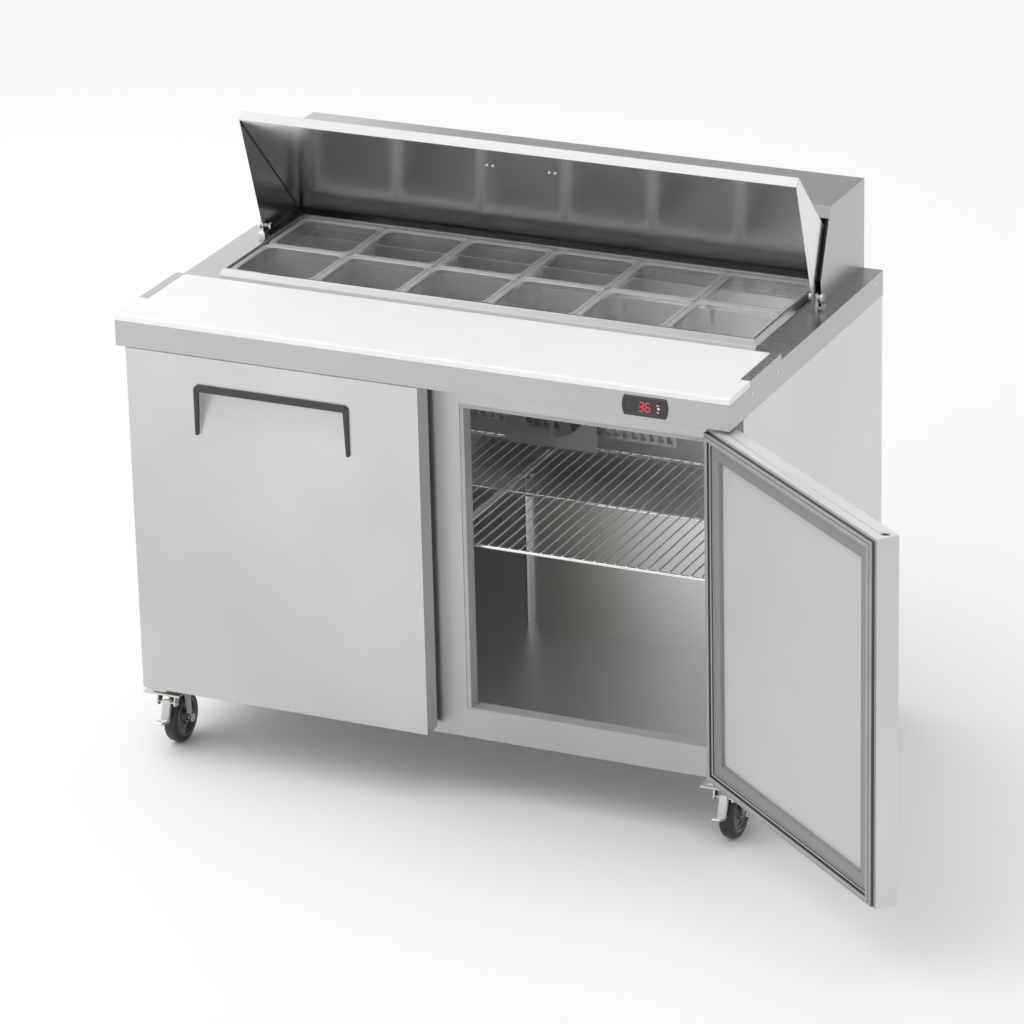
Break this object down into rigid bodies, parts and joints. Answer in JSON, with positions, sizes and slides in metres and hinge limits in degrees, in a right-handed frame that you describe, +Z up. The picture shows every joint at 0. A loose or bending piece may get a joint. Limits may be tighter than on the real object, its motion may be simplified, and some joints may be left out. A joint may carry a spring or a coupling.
{
  "type": "refrigerated sandwich prep table",
  "caption": "Refrigerated prep table with swing doors, a cutting board shelf, a rail of food pans under a tilting hood lid, wire shelves and swivel casters.",
  "frame": {"origin": "on the floor, under the middle of the counter's front edge", "axes": "+X to the right of someone at the counter, +Y to the back, +Z up"},
  "size_m": [1.6624, 1.1189, 1.1619],
  "materials": {
    "cabinet_steel": "satin",
    "door_steel": "satin",
    "counter_steel": "satin",
    "lid_steel": "satin",
    "lid_lining_steel": "polished",
    "liner_steel": "satin",
    "pan_bar_steel": "satin",
    "galvanised_steel": "matte",
    "zinc_steel": "satin",
    "bright_steel": "polished",
    "door_panel_plastic": "satin",
    "breaker_plastic": "satin",
    "insulation_foam": "matte",
    "seal_rubber": "matte",
    "handle_plastic": "satin",
    "board_plastic": "satin",
    "pan_plastic": "gloss",
    "control_plastic": "gloss",
    "coil_aluminium": "satin",
    "fan_aluminium": "satin",
    "compressor_paint": "satin",
    "wheel_rubber": "satin"
  },
  "bodies": {
    "cabinet": {"outer_wrap": "cabinet_steel", "front_frame": "cabinet_steel", "rear_hood": "cabinet_steel", "worktop": "counter_steel", "inner_liner": "liner_steel", "pan_rails": "pan_bar_steel", "base_panel": "galvanised_steel", "rear_grille": "galvanised_steel", "fan_shrouds": "galvanised_steel", "hinge_brackets": "zinc_steel", "caster_plates": "zinc_steel", "lid_pivot_posts": "bright_steel", "screws": "bright_steel", "wire_shelves": "bright_steel", "shelf_clips": "bright_steel", "breaker_strips": "breaker_plastic", "cabinet_foam": "insulation_foam", "hood_seals": "seal_rubber", "controller": "control_plastic", "power_inlet": "control_plastic", "evaporator": "coil_aluminium", "condenser": "coil_aluminium", "compressor": "compressor_paint"},
    "lid": {"lid_outer_skin": "lid_steel", "lid_inner_skin": "lid_lining_steel", "lid_foam": "insulation_foam", "lid_handle": "bright_steel"},
    "door_left": {"door_left_outer_skin": "door_steel", "door_left_inner_panel": "door_panel_plastic", "door_left_foam": "insulation_foam", "door_left_gasket": "seal_rubber", "door_left_handle": "handle_plastic", "door_left_bushes": "bright_steel"},
    "door_right": {"door_right_outer_skin": "door_steel", "door_right_inner_panel": "door_panel_plastic", "door_right_foam": "insulation_foam", "door_right_gasket": "seal_rubber", "door_right_handle": "handle_plastic", "door_right_bushes": "bright_steel"},
    "cutting_board": {"cutting_board": "board_plastic"},
    "food_pans_1": {"food_pans_1": "pan_plastic"},
    "food_pans_2": {"food_pans_2": "pan_plastic"},
    "food_pans_3": {"food_pans_3": "pan_plastic"},
    "food_pans_4": {"food_pans_4": "pan_plastic"},
    "food_pans_5": {"food_pans_5": "pan_plastic"},
    "food_pans_6": {"food_pans_6": "pan_plastic"},
    "key_up": {"key_up": "control_plastic"},
    "key_down": {"key_down": "control_plastic"},
    "evaporator_fan": {"evaporator_fan": "fan_aluminium"},
    "condenser_fan": {"condenser_fan": "fan_aluminium"},
    "caster_front_left": {"caster_fork_front_left": "zinc_steel"},
    "wheel_front_left": {"caster_wheel_front_left": "wheel_rubber"},
    "caster_front_right": {"caster_fork_front_right": "zinc_steel"},
    "wheel_front_right": {"caster_wheel_front_right": "wheel_rubber"},
    "caster_rear_left": {"caster_fork_rear_left": "zinc_steel"},
    "wheel_rear_left": {"caster_wheel_rear_left": "wheel_rubber"},
    "caster_rear_right": {"caster_fork_rear_right": "zinc_steel"},
    "wheel_rear_right": {"caster_wheel_rear_right": "wheel_rubber"},
    "pedal_left": {"brake_pedal_left": "zinc_steel"},
    "pedal_right": {"brake_pedal_right": "zinc_steel"}
  },
  "joints": [
    {"name": "lid_hinge", "type": "hinge", "parent": "cabinet", "child": "lid", "pos_m": [0, 0.5305, 0.907], "axis": [-1, 0, 0], "range_deg": [-72, 0]},
    {"name": "door_left_hinge", "type": "hinge", "parent": "cabinet", "child": "door_left", "pos_m": [-0.585, 0.032, 0.488], "axis": [0, 0, -1], "range_deg": [0, 150]},
    {"name": "door_right_hinge", "type": "hinge", "parent": "cabinet", "child": "door_right", "pos_m": [0.585, 0.032, 0.488], "axis": [0, 0, 1], "range_deg": [-141, 9]},
    {"name": "board_lift", "type": "slide", "parent": "cabinet", "child": "cutting_board", "axis": [0, 0, 1], "range_m": [0, 0.15]},
    {"name": "pans_lift_1", "type": "slide", "parent": "cabinet", "child": "food_pans_1", "axis": [0, 0, 1], "range_m": [0, 0.045]},
    {"name": "pans_lift_2", "type": "slide", "parent": "cabinet", "child": "food_pans_2", "axis": [0, 0, 1], "range_m": [0, 0.045]},
    {"name": "pans_lift_3", "type": "slide", "parent": "cabinet", "child": "food_pans_3", "axis": [0, 0, 1], "range_m": [0, 0.045]},
    {"name": "pans_lift_4", "type": "slide", "parent": "cabinet", "child": "food_pans_4", "axis": [0, 0, 1], "range_m": [0, 0.045]},
    {"name": "pans_lift_5", "type": "slide", "parent": "cabinet", "child": "food_pans_5", "axis": [0, 0, 1], "range_m": [0, 0.045]},
    {"name": "pans_lift_6", "type": "slide", "parent": "cabinet", "child": "food_pans_6", "axis": [0, 0, 1], "range_m": [0, 0.045]},
    {"name": "key_up_press", "type": "slide", "parent": "cabinet", "child": "key_up", "axis": [0, 1, 0], "range_m": [0, 0.0008], "stiffness_N_per_m": 400},
    {"name": "key_down_press", "type": "slide", "parent": "cabinet", "child": "key_down", "axis": [0, 1, 0], "range_m": [0, 0.0008], "stiffness_N_per_m": 400},
    {"name": "swivel_front_left", "type": "hinge", "parent": "cabinet", "child": "caster_front_left", "pos_m": [-0.573, 0.078, 0.118], "axis": [0, 0, 1], "continuous": true},
    {"name": "roll_front_left", "type": "hinge", "parent": "caster_front_left", "child": "wheel_front_left", "pos_m": [-0.573, 0.106, 0.05], "axis": [1, 0, 0], "continuous": true},
    {"name": "swivel_front_right", "type": "hinge", "parent": "cabinet", "child": "caster_front_right", "pos_m": [0.573, 0.078, 0.118], "axis": [0, 0, 1], "continuous": true},
    {"name": "roll_front_right", "type": "hinge", "parent": "caster_front_right", "child": "wheel_front_right", "pos_m": [0.573, 0.106, 0.05], "axis": [1, 0, 0], "continuous": true},
    {"name": "swivel_rear_left", "type": "hinge", "parent": "cabinet", "child": "caster_rear_left", "pos_m": [-0.573, 0.668, 0.118], "axis": [0, 0, 1], "continuous": true},
    {"name": "roll_rear_left", "type": "hinge", "parent": "caster_rear_left", "child": "wheel_rear_left", "pos_m": [-0.573, 0.696, 0.05], "axis": [1, 0, 0], "continuous": true},
    {"name": "swivel_rear_right", "type": "hinge", "parent": "cabinet", "child": "caster_rear_right", "pos_m": [0.573, 0.668, 0.118], "axis": [0, 0, 1], "continuous": true},
    {"name": "roll_rear_right", "type": "hinge", "parent": "caster_rear_right", "child": "wheel_rear_right", "pos_m": [0.573, 0.696, 0.05], "axis": [1, 0, 0], "continuous": true},
    {"name": "brake_left", "type": "hinge", "parent": "caster_front_left", "child": "pedal_left", "pos_m": [-0.573, 0.056, 0.099], "axis": [1, 0, 0], "range_deg": [0, 12]},
    {"name": "brake_right", "type": "hinge", "parent": "caster_front_right", "child": "pedal_right", "pos_m": [0.573, 0.056, 0.099], "axis": [1, 0, 0], "range_deg": [0, 12]},
    {"name": "evaporator_fan_spin", "type": "hinge", "parent": "cabinet", "child": "evaporator_fan", "pos_m": [0, 0.61, 0.602], "axis": [0, 1, 0], "continuous": true},
    {"name": "condenser_fan_spin", "type": "hinge", "parent": "cabinet", "child": "condenser_fan", "pos_m": [0.2, 0.63, 0.272], "axis": [0, 1, 0], "continuous": true}
  ]
}
